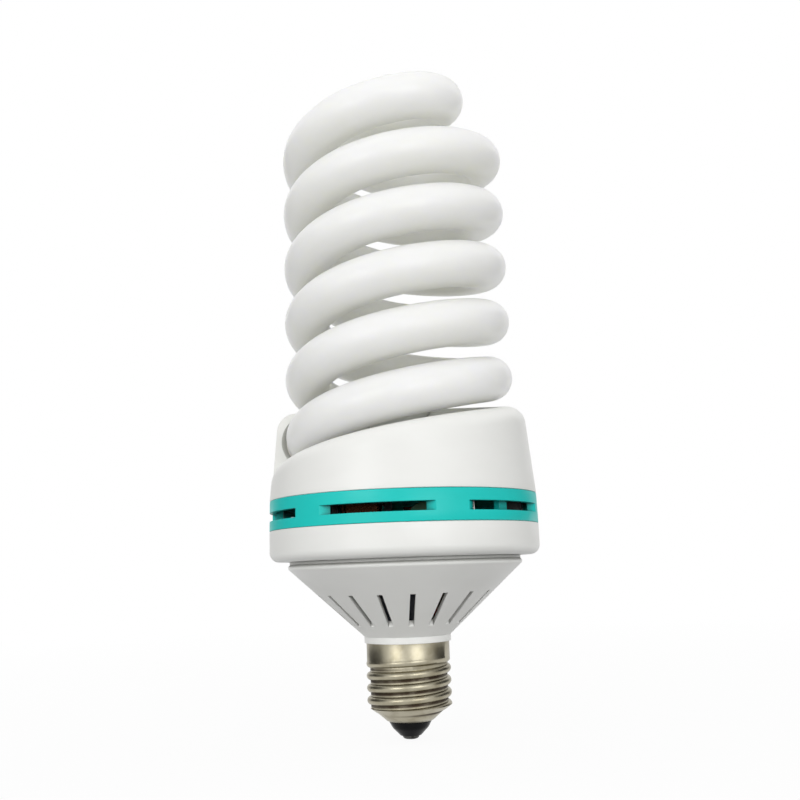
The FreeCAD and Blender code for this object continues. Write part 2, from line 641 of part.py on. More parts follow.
def filter_inductor():
    """Drum inductor in the supply."""
    top = BOARD_TOP_Z + FILTER_H
    neck_r = FILTER_R - FILTER_NECK
    drum = turned_solid([
        (0, BOARD_TOP_Z), (FILTER_R, BOARD_TOP_Z), (FILTER_R, BOARD_TOP_Z + FILTER_FLANGE),
        (neck_r, BOARD_TOP_Z + FILTER_FLANGE), (neck_r, top - FILTER_FLANGE),
        (FILTER_R, top - FILTER_FLANGE), (FILTER_R, top), (0, top)])
    drum.translate(V(FILTER_AT[0], FILTER_AT[1], 0))
    return drum


def start_thermistor():
    """Disc thermistor across the tube, upright on two terminals."""
    low = BOARD_TOP_Z + STANDOFF
    centre = V(THERMISTOR_AT[0], THERMISTOR_AT[1] - THERMISTOR_T / 2, low + THERMISTOR_R)
    disc = Part.makeCylinder(THERMISTOR_R, THERMISTOR_T, centre, V(0, 1, 0))
    terminals = []
    for side in (-1, 1):
        at = (THERMISTOR_AT[0] + side * TERMINAL_STEP, THERMISTOR_AT[1])
        terminals.append(block((TERMINAL_SIDE, TERMINAL_SIDE, STANDOFF + THERMISTOR_R), at, BOARD_TOP_Z))
    return disc.fuse(terminals)


def axial_part(radius, length, at, along):
    """Round part that lies over the board on its two bent leads."""
    centre = V(at[0], at[1], BOARD_TOP_Z + AXIAL_LIFT + radius)
    body = Part.makeCylinder(radius, length, centre - along * (length / 2), along)
    leads = []
    for side in (-1, 1):
        turn = centre + along * (side * (length / 2 + AXIAL_REACH))
        foot = V(turn.x, turn.y, BOARD_TOP_Z)
        leads.append(bent_wire([centre, turn, foot], 2 * AXIAL_LEAD_R, AXIAL_LEAD_R))
    return body.fuse(leads)


def fuse_resistor():
    """Fusible resistor where the supply comes in."""
    return axial_part(FUSE_R, FUSE_LENGTH, FUSE_AT, V(1, 0, 0))


def rectifier_diodes():
    """The bridge's diodes, side by side."""
    diodes = []
    for step in range(DIODE_COUNT):
        x = DIODE_AT[0] + DIODE_STEP * (step - (DIODE_COUNT - 1) / 2)
        diodes.append(axial_part(DIODE_R, DIODE_LENGTH, (x, DIODE_AT[1]), V(0, 1, 0)))
    return Part.makeCompound(diodes)


def lead_corners():
    """Start and bend of the two leads at the first arm's sealed end."""
    end, ahead = arm_stations(-TUBE_TAIL, 0.0)[0]
    outward = polar(LEAD_SPREAD, 180.0 - TUBE_TAIL)
    starts = [end - outward, end + outward]
    return [(start, start - ahead * LEAD_REACH) for start in starts]


def electrode_leads():
    """Leads from both sealed ends of the tube down to the wrap pins."""
    pin_top = BOARD_TOP_Z + PIN_HEIGHT
    pair = [bent_wire([start, bend, V(bend.x, bend.y, pin_top)], LEAD_BEND, LEAD_R)
            for start, bend in lead_corners()]
    return Part.makeCompound(pair + [turned(lead, 180) for lead in pair])


def wrap_pins():
    """Square pins that the electrode leads are wrapped on."""
    pair = [block((PIN_SIDE, PIN_SIDE, PIN_HEIGHT), (bend.x, bend.y), BOARD_TOP_Z)
            for start, bend in lead_corners()]
    return Part.makeCompound(pair + [turned(pin, 180) for pin in pair])


def live_lead():
    """Supply lead from the board to the centre contact's stem."""
    return bent_wire([V(SUPPLY_SIDE, 0, BOARD_LOW_Z), V(SUPPLY_SIDE, 0, BULK_LOW_Z),
                      V(0, 0, SUPPLY_TURN_Z), V(0, 0, STEM_TOP_Z)], SUPPLY_BEND, SUPPLY_R)


def neutral_lead():
    """Supply lead from the board to the inside of the screw shell."""
    neck_x = -SPIGOT_BORE_R / 2
    end_z = (SPIGOT_LOW_Z + STEM_TOP_Z) / 2
    return bent_wire([V(-SUPPLY_SIDE, 0, BOARD_LOW_Z), V(-SUPPLY_SIDE, 0, BULK_LOW_Z),
                      V(neck_x, 0, SUPPLY_TURN_Z), V(neck_x, 0, end_z),
                      V(FACE_GAP - SHELL_BORE_R, 0, end_z)], SUPPLY_BEND, SUPPLY_R)


PIECES = (
    spiral_tube, electrodes, tube_cover, tube_cement, vent_ring, ballast_case,
    cap_spigot, screw_shell, cap_insulator, centre_contact,
    circuit_board, bulk_capacitor, choke_core, choke_bobbin, choke_winding,
    drive_toroid, drive_windings, switching_transistors, resonant_capacitor, film_capacitors,
    filter_inductor, start_thermistor, fuse_resistor, rectifier_diodes,
    wrap_pins, electrode_leads, live_lead, neutral_lead)


def main():
    """Write one file for each piece."""
    os.makedirs("parts", exist_ok=True)
    for make in PIECES:
        shape = make()
        shape.exportStep(os.path.join("parts", make.__name__ + ".step"))
        print(f"{make.__name__}: {len(shape.Solids)} solids, {shape.Volume:.1f} mm3")


if __name__ == "__main__":
    main()
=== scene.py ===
"""Spiral energy saving lamp: finishes, added detail, studio light and camera."""

import logging
import math
from dataclasses import dataclass, field
from enum import Enum
from typing import Callable, Sequence

import bpy
from mathutils import Matrix, Vector

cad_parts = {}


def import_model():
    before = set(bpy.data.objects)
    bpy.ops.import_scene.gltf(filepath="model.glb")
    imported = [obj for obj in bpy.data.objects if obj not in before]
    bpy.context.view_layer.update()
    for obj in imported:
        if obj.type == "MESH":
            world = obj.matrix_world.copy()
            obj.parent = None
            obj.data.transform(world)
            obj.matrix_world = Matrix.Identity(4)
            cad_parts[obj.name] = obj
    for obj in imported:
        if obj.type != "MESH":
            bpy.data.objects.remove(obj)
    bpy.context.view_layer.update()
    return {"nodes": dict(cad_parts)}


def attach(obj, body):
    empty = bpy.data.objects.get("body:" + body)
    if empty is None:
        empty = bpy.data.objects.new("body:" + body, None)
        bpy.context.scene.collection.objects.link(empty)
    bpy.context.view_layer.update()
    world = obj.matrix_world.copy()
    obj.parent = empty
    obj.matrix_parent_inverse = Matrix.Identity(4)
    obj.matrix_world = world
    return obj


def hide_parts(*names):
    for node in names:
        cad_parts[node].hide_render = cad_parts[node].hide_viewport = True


LOG = logging.getLogger("lamp")
MM = 0.001
BODY = "root"

WHITE = (1.0, 1.0, 1.0, 1.0)
MIX_SHARE = 0
MIX_FIRST = 6
MIX_SECOND = 7
MIX_RESULT = 2

Colour = tuple[float, float, float]
Point = tuple[float, float, float]
Span = tuple[float, float]


class Slot(Enum):
    """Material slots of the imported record."""

    PHOSPHOR_GLASS = "phosphor_glass"
    WHITE_PLASTIC = "white_plastic"
    TEAL_PLASTIC = "teal_plastic"
    NICKEL = "nickelled_brass"
    BLACK_GLASS = "black_glass"
    SOLDER = "solder"
    CEMENT = "cement"
    TUNGSTEN = "tungsten"
    LAMINATE = "laminate"
    SLEEVE = "sleeve"
    FERRITE = "ferrite"
    BOBBIN = "bobbin_plastic"
    COPPER = "copper"
    HOOKUP_WIRE = "hookup_wire"
    EPOXY = "epoxy"
    FILM_CASE = "film_case"
    DISC_COATING = "disc_coating"
    TINNED = "tinned"


class Ray(Enum):
    """Kinds of ray that see the white background instead of the room."""

    CAMERA = "Is Camera Ray"
    GLOSSY = "Is Glossy Ray"
    TRANSMISSION = "Is Transmission Ray"


@dataclass
class NodeSheet:
    """Shader nodes of one material, with short ways to add what a finish needs.

    Args:
        name: Name of the material that is made.
    """

    name: str
    material: bpy.types.Material = field(init=False)
    bsdf: bpy.types.Node = field(init=False)

    def __post_init__(self) -> None:
        """Make the material with one surface shader."""
        self.material = bpy.data.materials.new(self.name)
        self.material.use_nodes = True
        self.tree.nodes.clear()
        output = self.add("ShaderNodeOutputMaterial")
        self.bsdf = self.add("ShaderNodeBsdfPrincipled")
        self.join(self.bsdf.outputs["BSDF"], output.inputs["Surface"])

    @property
    def tree(self) -> bpy.types.NodeTree:
        """Node tree of the material."""
        return self.material.node_tree

    def add(self, kind: str, **settings: object) -> bpy.types.Node:
        """Add a node.

        Args:
            kind: Type name of the node.
            settings: Properties set on it.

        Returns:
            The new node.
        """
        node = self.tree.nodes.new(kind)
        for key, value in settings.items():
            setattr(node, key, value)
        return node

    def join(self, start: bpy.types.NodeSocket, end: bpy.types.NodeSocket) -> None:
        """Link an output to an input."""
        self.tree.links.new(start, end)

    def feed(self, socket: bpy.types.NodeSocket, value: object) -> None:
        """Link an output to a socket, or set the socket to a constant."""
        if isinstance(value, bpy.types.NodeSocket):
            self.join(value, socket)
        else:
            socket.default_value = value

    def surface(self, **values: object) -> None:
        """Set the surface shader's sockets, named with underscores for spaces."""
        for key, value in values.items():
            socket = self.bsdf.inputs[key.replace("_", " ")]
            if isinstance(value, tuple) and socket.type == "RGBA":
                value = (*value, 1.0)
            self.feed(socket, value)

    def place(self) -> bpy.types.NodeSocket:
        """Object coordinates, in metres from the tip of the contact."""
        return self.add("ShaderNodeTexCoord").outputs["Object"]

    def parts(self) -> Sequence[bpy.types.NodeSocket]:
        """X, Y and Z of the object coordinates."""
        split = self.add("ShaderNodeSeparateXYZ")
        self.join(self.place(), split.inputs[0])
        return split.outputs

    def noise(self, size: float, detail: float = 2.0,
              stretch: Point = (1.0, 1.0, 1.0)) -> bpy.types.NodeSocket:
        """Add a soft random pattern.

        Args:
            size: Size of its blotches in metres.
            detail: Number of finer layers.
            stretch: How much denser it is along each axis.

        Returns:
            Its value from 0 to 1.
        """
        mapping = self.add("ShaderNodeMapping")
        self.join(self.place(), mapping.inputs["Vector"])
        mapping.inputs["Scale"].default_value = stretch
        texture = self.add("ShaderNodeTexNoise")
        self.join(mapping.outputs["Vector"], texture.inputs["Vector"])
        texture.inputs["Scale"].default_value = 1.0 / size
        texture.inputs["Detail"].default_value = detail
        return texture.outputs["Fac"]

    def spread(self, value: bpy.types.NodeSocket, low: float, high: float,
               to_low: float = 0.0, to_high: float = 1.0) -> bpy.types.NodeSocket:
        """Map a value from one range to another, smoothly and held at both ends."""
        node = self.add("ShaderNodeMapRange", interpolation_type="SMOOTHSTEP")
        self.join(value, node.inputs["Value"])
        node.inputs["From Min"].default_value = low
        node.inputs["From Max"].default_value = high
        node.inputs["To Min"].default_value = to_low
        node.inputs["To Max"].default_value = to_high
        return node.outputs["Result"]

    def blend(self, share: bpy.types.NodeSocket, first: object, second: object) -> bpy.types.NodeSocket:
        """Mix two colours, each a constant or an output."""
        node = self.add("ShaderNodeMix", data_type="RGBA")
        self.join(share, node.inputs[MIX_SHARE])
        for socket, value in ((node.inputs[MIX_FIRST], first), (node.inputs[MIX_SECOND], second)):
            self.feed(socket, (*value, 1.0) if isinstance(value, tuple) else value)
        return node.outputs[MIX_RESULT]

    def combine(self, operation: str, first: object, second: object) -> bpy.types.NodeSocket:
        """Arithmetic on two values, each a constant or an output."""
        node = self.add("ShaderNodeMath", operation=operation)
        self.feed(node.inputs[0], first)
        self.feed(node.inputs[1], second)
        return node.outputs[0]

    def relief(self, height: bpy.types.NodeSocket, depth: float,
               under: bpy.types.NodeSocket | None = None) -> bpy.types.NodeSocket:
        """Bump the surface.

        Args:
            height: Pattern from 0 to 1.
            depth: Height of the pattern in metres.
            under: Normal that the relief is laid over.

        Returns:
            The bumped normal.
        """
        node = self.add("ShaderNodeBump")
        node.inputs["Strength"].default_value = 1.0
        node.inputs["Distance"].default_value = depth
        self.join(height, node.inputs["Height"])
        if under is not None:
            self.join(under, node.inputs["Normal"])
        return node.outputs["Normal"]


@dataclass(frozen=True)
class Finish:
    """A finish: the slot it belongs to and the material it makes."""

    slot: Slot

    def material(self) -> bpy.types.Material:
        """Make the finish's material."""
        raise NotImplementedError


@dataclass(frozen=True)
class CoatedGlass(Finish):
    """Smooth glass with a white powder coating on its inside."""

    slot: Slot = Slot.PHOSPHOR_GLASS
    pale: Colour = (0.945, 0.947, 0.898)
    thin: Colour = (0.930, 0.935, 0.872)
    cloud: float = 18 * MM
    cloud_range: Span = (0.35, 0.70)
    roughness: Span = (0.34, 0.42)
    coat: float = 0.18
    coat_roughness: float = 0.12
    index: float = 1.5
    shine: float = 0.35
    wave: float = 26 * MM
    wave_depth: float = 0.10 * MM
    grain: float = 0.5 * MM
    grain_depth: float = 0.004 * MM
    glow: float = 0.9
    glow_depth: float = 17 * MM
    glow_tint: Colour = (1.0, 1.0, 0.85)

    def material(self) -> bpy.types.Material:
        """Cloudy white under clear glass that is a little wavy."""
        sheet = NodeSheet("coated_glass")
        cloud = sheet.spread(sheet.noise(self.cloud, detail=3.0), *self.cloud_range)
        wavy = sheet.relief(sheet.noise(self.wave, detail=1.0), self.wave_depth)
        fine = sheet.relief(sheet.noise(self.grain, detail=2.0), self.grain_depth, wavy)
        sheet.surface(
            Base_Color=sheet.blend(cloud, self.pale, self.thin),
            Roughness=sheet.spread(cloud, 0.0, 1.0, *self.roughness),
            Subsurface_Weight=self.glow,
            Subsurface_Radius=self.glow_tint,
            Subsurface_Scale=self.glow_depth,
            Normal=fine,
            Coat_Normal=wavy,
            Coat_Weight=self.coat,
            Coat_Roughness=self.coat_roughness,
            IOR=self.index,
            Specular_IOR_Level=self.shine)
        return sheet.material


@dataclass(frozen=True)
class MouldedPlastic(Finish):
    """Injection moulded plastic with a fine eroded texture."""

    slot: Slot = Slot.WHITE_PLASTIC
    name: str = "moulded_white"
    colour: Colour = (0.862, 0.864, 0.838)
    shade: Colour = (0.842, 0.844, 0.816)
    roughness: Span = (0.36, 0.46)
    texture: float = 0.45 * MM
    texture_depth: float = 0.006 * MM
    flow: float = 22 * MM
    flow_stretch: Point = (1.0, 1.0, 2.0)
    flow_range: Span = (0.35, 0.70)
    edge: float = 0.25 * MM
    edge_samples: int = 4
    index: float = 1.5
    shine: float = 0.5
    # Painted shade in creases: the colour that creases are darkened toward, and its greatest share.
    crease_shade: Colour = (0.22, 0.22, 0.20)
    crease_shade_share: float = 0.75
    crease: float = 4 * MM
    crease_range: Span = (0.30, 0.80)
    crease_samples: int = 8

    def material(self) -> bpy.types.Material:
        """Faint flow clouds and a fine texture, with softened edges and painted shade in the creases."""
        sheet = NodeSheet(self.name)
        flow = sheet.spread(sheet.noise(self.flow, detail=3.0, stretch=self.flow_stretch), *self.flow_range)
        toned = sheet.blend(flow, self.colour, self.shade)
        soft = sheet.add("ShaderNodeBevel", samples=self.edge_samples)
        soft.inputs["Radius"].default_value = self.edge
        pores = sheet.noise(self.texture, detail=2.0)
        fine = sheet.relief(pores, self.texture_depth, soft.outputs["Normal"])
        # Painted shade: where ambient occlusion finds a crease, recess or groove, the base colour is
        # darkened.
        nook = sheet.add("ShaderNodeAmbientOcclusion", samples=self.crease_samples)
        nook.inputs["Distance"].default_value = self.crease
        crease_shading = sheet.spread(nook.outputs["AO"], *self.crease_range, self.crease_shade_share, 0.0)
        sheet.surface(
            Base_Color=sheet.blend(crease_shading, toned, self.crease_shade),
            Roughness=sheet.spread(flow, 0.0, 1.0, *self.roughness),
            Normal=fine,
            IOR=self.index,
            Specular_IOR_Level=self.shine)
        return sheet.material


@dataclass(frozen=True)
class RolledNickel(Finish):
    """Nickel plate on rolled brass sheet, with tarnish and painted shade in the thread's valleys."""

    slot: Slot = Slot.NICKEL
    bright: Colour = (0.40, 0.37, 0.28)
    warm: Colour = (0.31, 0.28, 0.20)
    # Dark colour of the thread's valleys: tarnish and painted shade.
    valley_tarnish_and_shade: Colour = (0.030, 0.016, 0.010)
    pitch: float = 3.629 * MM
    crest_z: float = 9.9 * MM
    thread_low: float = 7.2 * MM
    thread_high: float = 22.0 * MM
    fade: float = 1.0 * MM
    valley_start: Span = (0.36, 0.54)
    valley_end: Span = (0.64, 0.80)
    roughness: Span = (0.34, 0.60)
    blotch: float = 4 * MM
    blotch_range: Span = (0.40, 0.70)
    darkening_range: Span = (0.25, 0.60)
    darkening_share: Span = (0.70, 0.95)
    line: float = 0.12 * MM
    line_stretch: Point = (0.02, 0.02, 1.0)
    line_depth: float = 0.004 * MM

    def material(self) -> bpy.types.Material:
        """Warm bright crests, brown valleys of tarnish and painted shade, and fine lines from the rolling.
        """
        sheet = NodeSheet("rolled_nickel")
        blotch = sheet.noise(self.blotch, detail=4.0)
        lit = sheet.blend(sheet.spread(blotch, *self.blotch_range), self.bright, self.warm)
        # Painted shade with tarnish: the thread's valleys are darkened, more strongly in some blotches than
        # others.
        patchy_strength = sheet.spread(blotch, *self.darkening_range, *self.darkening_share)
        valley_darkening = sheet.combine("MULTIPLY", self.valley(sheet), patchy_strength)
        lines = sheet.noise(self.line, detail=2.0, stretch=self.line_stretch)
        sheet.surface(
            Base_Color=sheet.blend(valley_darkening, lit, self.valley_tarnish_and_shade),
            Metallic=1.0,
            Roughness=sheet.spread(valley_darkening, 0.0, 1.0, *self.roughness),
            Normal=sheet.relief(lines, self.line_depth))
        return sheet.material

    def valley(self, sheet: NodeSheet) -> bpy.types.NodeSocket:
        """One along the bottom of the thread's helix, and nought on its crests and off the thread.

        Args:
            sheet: Nodes of the material.

        Returns:
            The output with that value.
        """
        across, along, level = sheet.parts()
        turn = sheet.combine("DIVIDE", sheet.combine("ARCTAN2", along, across), math.tau)
        climb = sheet.combine("DIVIDE", sheet.combine("SUBTRACT", level, self.crest_z), self.pitch)
        phase = sheet.combine("FRACT", sheet.combine("SUBTRACT", climb, turn), 0.0)
        down = sheet.spread(phase, *self.valley_start)
        up = sheet.spread(phase, *self.valley_end, 1.0, 0.0)
        begun = sheet.spread(level, self.thread_low, self.thread_low + self.fade)
        ended = sheet.spread(level, self.thread_high - self.fade, self.thread_high, 1.0, 0.0)
        groove = sheet.combine("MULTIPLY", down, up)
        threaded = sheet.combine("MULTIPLY", begun, ended)
        return sheet.combine("MULTIPLY", groove, threaded)


@dataclass(frozen=True)
class PressedGlass(Finish):
    """Black pressed glass."""

    slot: Slot = Slot.BLACK_GLASS
    colour: Colour = (0.003, 0.003, 0.004)
    dust: Colour = (0.008, 0.008, 0.007)
    dust_range: Span = (0.50, 0.80)
    ripple: float = 3 * MM
    ripple_depth: float = 0.05 * MM
    ripple_range: Span = (0.30, 0.80)
    roughness: Span = (0.12, 0.28)
    index: float = 1.52
    shine: float = 0.08

    def material(self) -> bpy.types.Material:
        """Glossy black with a slightly rippled skin."""
        sheet = NodeSheet("pressed_black_glass")
        ripple = sheet.noise(self.ripple, detail=2.0)
        sheet.surface(
            Base_Color=sheet.blend(sheet.spread(ripple, *self.dust_range), self.colour, self.dust),
            Roughness=sheet.spread(ripple, *self.ripple_range, *self.roughness),
            Normal=sheet.relief(ripple, self.ripple_depth),
            IOR=self.index,
            Specular_IOR_Level=self.shine)
        return sheet.material


@dataclass(frozen=True)
class Speckled(Finish):
    """Plain finish with a two-tone speckle and a light relief."""

    slot: Slot
    name: str = "speckled"
    colour: Colour = (0.5, 0.5, 0.5)
    shade: Colour = (0.4, 0.4, 0.4)
    metallic: float = 0.0
    roughness: Span = (0.4, 0.6)
    roughness_range: Span = (0.3, 0.7)
    tone_range: Span = (0.35, 0.65)
    size: float = 1.5 * MM
    depth: float = 0.02 * MM

    def material(self) -> bpy.types.Material:
        """Two tones that follow one random pattern."""
        sheet = NodeSheet(self.name)
        speckle = sheet.noise(self.size, detail=4.0)
        sheet.surface(
            Base_Color=sheet.blend(sheet.spread(speckle, *self.tone_range), self.colour, self.shade),
            Metallic=self.metallic,
            Roughness=sheet.spread(speckle, *self.roughness_range, *self.roughness),
            Normal=sheet.relief(speckle, self.depth))
        return sheet.material


@dataclass
class Bench:
    """The loaded nodes, and the ways in which every sub-assembly finishes its pieces.

    Args:
        nodes: CAD nodes by name.
        made: Materials made so far, by finish.
        weld: Points nearer than this are joined.
    """

    nodes: dict[str, bpy.types.Object]
    made: dict[Finish, bpy.types.Material] = field(default_factory=dict)
    weld: float = 0.0005 * MM

    def paint(self, piece: bpy.types.Object, finish: Finish) -> None:
        """Give a piece one finish all over."""
        if finish not in self.made:
            self.made[finish] = finish.material()
        piece.data.materials.clear()
        piece.data.materials.append(self.made[finish])

    def dress(self, node: str, finish: Finish) -> None:
        """Give a CAD node a finish and report it."""
        self.paint(self.nodes[node], finish)
        LOG.info("%s: %s", node, finish.slot.value)

    def alone(self, piece: bpy.types.Object) -> None:
        """Make one piece the only selected and active one."""
        bpy.ops.object.select_all(action="DESELECT")
        piece.select_set(True)
        bpy.context.view_layer.objects.active = piece

    def keep(self, piece: bpy.types.Object, name: str, finish: Finish, *stands_for: str) -> None:
        """Name, dress and seat a new piece.

        Args:
            piece: The finished mesh object.
            name: Its name.
            finish: Its finish.
            stands_for: CAD nodes that it takes the place of.
        """
        piece.name = name
        piece.data.name = name
        self.alone(piece)
        bpy.ops.object.transform_apply(location=True, rotation=True, scale=True)
        self.paint(piece, finish)
        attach(piece, BODY)
        if stands_for:
            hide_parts(*stands_for)
        LOG.info("%s: %s, %d faces", name, finish.slot.value, len(piece.data.polygons))

    def skin(self, node: str, name: str, finish: Finish, angle: float = 32.0) -> bpy.types.Object:
        """Copy a CAD node as one joined skin with smooth shading.

        Args:
            node: CAD node that the skin takes the place of.
            name: Name of the skin.
            finish: Its finish.
            angle: Sharper edges than this, in degrees, stay sharp.

        Returns:
            The new piece.
        """
        piece = bpy.data.objects.new(name, self.nodes[node].data.copy())
        bpy.context.scene.collection.objects.link(piece)
        self.alone(piece)
        bpy.ops.object.mode_set(mode="EDIT")
        bpy.ops.mesh.select_all(action="SELECT")
        bpy.ops.mesh.customdata_custom_splitnormals_clear()
        bpy.ops.mesh.remove_doubles(threshold=self.weld)
        bpy.ops.object.mode_set(mode="OBJECT")
        bpy.ops.object.shade_smooth_by_angle(angle=math.radians(angle))
        piece = self.outside(piece)
        self.keep(piece, name, finish, node)
        return piece

    def outside(self, piece: bpy.types.Object) -> bpy.types.Object:
        """Take away the closed skins inside a piece, such as the bore of a sealed tube.

        Args:
            piece: Mesh object with one outer skin.

        Returns:
            The piece with its outer skin alone.
        """
        self.alone(piece)
        bpy.ops.mesh.separate(type="LOOSE")
        skins = sorted(bpy.context.selected_objects, key=lambda skin: skin.dimensions.length)
        for inner in skins[:-1]:
            bpy.data.objects.remove(inner, do_unlink=True)
        return skins[-1]


@dataclass
class DischargeTube:
    """Spiral tube with its electrodes, leads and cement."""

    glass: Finish = CoatedGlass()
    cement: Finish = Speckled(Slot.CEMENT, "cement", (0.82, 0.80, 0.74), (0.72, 0.70, 0.63),
                              roughness=(0.8, 0.95), size=0.8 * MM, depth=0.08 * MM)
    wire: Finish = Speckled(Slot.TINNED, "tinned_wire", (0.72, 0.72, 0.70), (0.60, 0.60, 0.58),
                            metallic=1.0, roughness=(0.25, 0.45))
    filament: Finish = Speckled(Slot.TUNGSTEN, "tungsten", (0.34, 0.34, 0.35), (0.24, 0.24, 0.25),
                                metallic=1.0, roughness=(0.4, 0.6), size=0.4 * MM)

    def build(self, bench: Bench) -> None:
        """Lay a smooth skin over the glass and dress the rest.

        Args:
            bench: Nodes and helpers.
        """
        bench.skin("spiral_tube", "glass_spiral", self.glass, angle=60.0)
        bench.dress("electrodes", self.filament)
        bench.dress("electrode_leads", self.wire)
        bench.dress("wrap_pins", self.wire)
        bench.dress("tube_cement", self.cement)


@dataclass
class Housing:
    """The white cover and case with the teal vent ring between them, and the cap's spigot."""

    white: Finish = MouldedPlastic()
    # The teal's crease colour and share set its painted shade in creases.
    teal: Finish = MouldedPlastic(
        Slot.TEAL_PLASTIC, "moulded_teal", (0.008, 0.61, 0.56), (0.006, 0.57, 0.52),
        roughness=(0.32, 0.42), shine=0.25, crease_shade=(0.004, 0.06, 0.055), crease_shade_share=0.9)

    def build(self, bench: Bench) -> None:
        """Lay smooth skins over the three outer mouldings and dress the spigot.

        Args:
            bench: Nodes and helpers.
        """
        bench.skin("tube_cover", "ramp_cover", self.white)
        bench.skin("vent_ring", "slotted_ring", self.teal)
        bench.skin("ballast_case", "vented_case", self.white)
        bench.dress("cap_spigot", self.white)


@dataclass
class ScrewCap:
    """Screw cap: threaded shell, black insulator and contact."""

    nickel: Finish = RolledNickel()
    glass: Finish = PressedGlass()
    # The solder's dark tone is painted shade, standing in for the dark reflection on the contact.
    solder: Finish = Speckled(Slot.SOLDER, "solder", (0.100, 0.100, 0.095), (0.035, 0.035, 0.033),
                              metallic=1.0, roughness=(0.30, 0.50), size=0.9 * MM, depth=0.05 * MM)
    contact_radius: float = 2.6 * MM
    contact_height: float = 1.1 * MM
    stem_radius: float = 1.2 * MM
    stem_top: float = 9.0 * MM
    dome: float = 1.02 * MM
    dome_steps: int = 8
    facets: int = 64
    smooth_below: float = 35.0

    def build(self, bench: Bench) -> None:
        """Lay skins over shell and insulator, and model the contact's solder dome.

        Args:
            bench: Nodes and helpers.
        """
        bench.skin("screw_shell", "threaded_shell", self.nickel, angle=50.0)
        bench.skin("cap_insulator", "black_insulator", self.glass, angle=40.0)
        self.contact(bench)

    def contact(self, bench: Bench) -> None:
        """Contact button with a domed face and a stem, from one cylinder.

        Args:
            bench: Nodes and helpers.
        """
        bpy.ops.object.select_all(action="DESELECT")
        middle = self.contact_height / 2
        bpy.ops.mesh.primitive_cylinder_add(vertices=self.facets, radius=self.contact_radius,
                                            depth=self.contact_height, location=(0.0, 0.0, middle))
        button = bpy.context.object
        bpy.ops.object.transform_apply(location=True)
        pick(button, "EDGE", lambda points: all(p.z < middle for p in points))
        bpy.ops.mesh.bevel(offset=self.dome, segments=self.dome_steps, profile=0.5, affect="EDGES")
        top = max(vertex.co.z for vertex in button.data.vertices)
        pick(button, "FACE", lambda points: all(math.isclose(p.z, top) for p in points))
        bpy.ops.mesh.inset(thickness=self.contact_radius - self.stem_radius)
        bpy.ops.mesh.extrude_region_move(
            TRANSFORM_OT_translate={"value": (0.0, 0.0, self.stem_top - self.contact_height)})
        bpy.ops.object.mode_set(mode="OBJECT")
        bench.alone(button)
        bpy.ops.object.shade_smooth_by_angle(angle=math.radians(self.smooth_below))
        bench.keep(button, "contact_button", self.solder, "centre_contact")


@dataclass
class Ballast:
    """Circuit board and its components."""

    laminate: Finish = Speckled(Slot.LAMINATE, "paper_laminate", (0.62, 0.47, 0.24), (0.54, 0.40, 0.20),
                                roughness=(0.5, 0.7), size=1.2 * MM)
    sleeve: Finish = Speckled(Slot.SLEEVE, "shrink_sleeve", (0.030, 0.035, 0.060), (0.022, 0.026, 0.045),
                              roughness=(0.30, 0.45), size=3 * MM)
    ferrite: Finish = Speckled(Slot.FERRITE, "ferrite", (0.075, 0.075, 0.080), (0.045, 0.045, 0.050),
                               roughness=(0.55, 0.80), size=0.5 * MM, depth=0.03 * MM)
    bobbin: Finish = Speckled(Slot.BOBBIN, "bobbin_black", (0.035, 0.035, 0.035), (0.028, 0.028, 0.028))
    # The copper's dark tone is painted shade for the dark inside seen through the ring's slots.
    copper: Finish = Speckled(Slot.COPPER, "enamelled_copper", (0.090, 0.030, 0.012), (0.065, 0.021, 0.008),
                              metallic=0.9, roughness=(0.22, 0.38), size=0.8 * MM)
    wire: Finish = Speckled(Slot.HOOKUP_WIRE, "wire_insulation", (0.50, 0.035, 0.025), (0.42, 0.028, 0.02),
                            roughness=(0.35, 0.50))
    epoxy: Finish = Speckled(Slot.EPOXY, "moulded_epoxy", (0.022, 0.022, 0.024), (0.016, 0.016, 0.018),
                             roughness=(0.50, 0.70), size=0.6 * MM)
    film: Finish = Speckled(Slot.FILM_CASE, "dipped_film", (0.36, 0.060, 0.028), (0.29, 0.045, 0.020),
                            roughness=(0.18, 0.32), size=2.5 * MM, depth=0.05 * MM)
    lacquer: Finish = Speckled(Slot.DISC_COATING, "green_lacquer", (0.060, 0.20, 0.085),
                               (0.045, 0.16, 0.065), roughness=(0.30, 0.50))

    def build(self, bench: Bench) -> None:
        """Dress the board and each component.

        Args:
            bench: Nodes and helpers.
        """
        finishes = {
            "circuit_board": self.laminate, "bulk_capacitor": self.sleeve, "filter_inductor": self.sleeve,
            "choke_core": self.ferrite, "drive_toroid": self.ferrite, "choke_bobbin": self.bobbin,
            "choke_winding": self.copper, "drive_windings": self.wire, "live_lead": self.wire,
            "neutral_lead": self.wire, "switching_transistors": self.epoxy, "rectifier_diodes": self.epoxy,
            "resonant_capacitor": self.film, "film_capacitors": self.film,
            "start_thermistor": self.lacquer, "fuse_resistor": self.lacquer}
        for node, finish in finishes.items():
            bench.dress(node, finish)


@dataclass(frozen=True)
class Panel:
    """A square lamp or card of the studio.

    Args:
        name: Name of the panel.
        place: Its centre.
        side: Its width and height.
        watts: Its power, where it is a lamp.
    """

    name: str
    place: Point
    side: float
    watts: float = 0.0


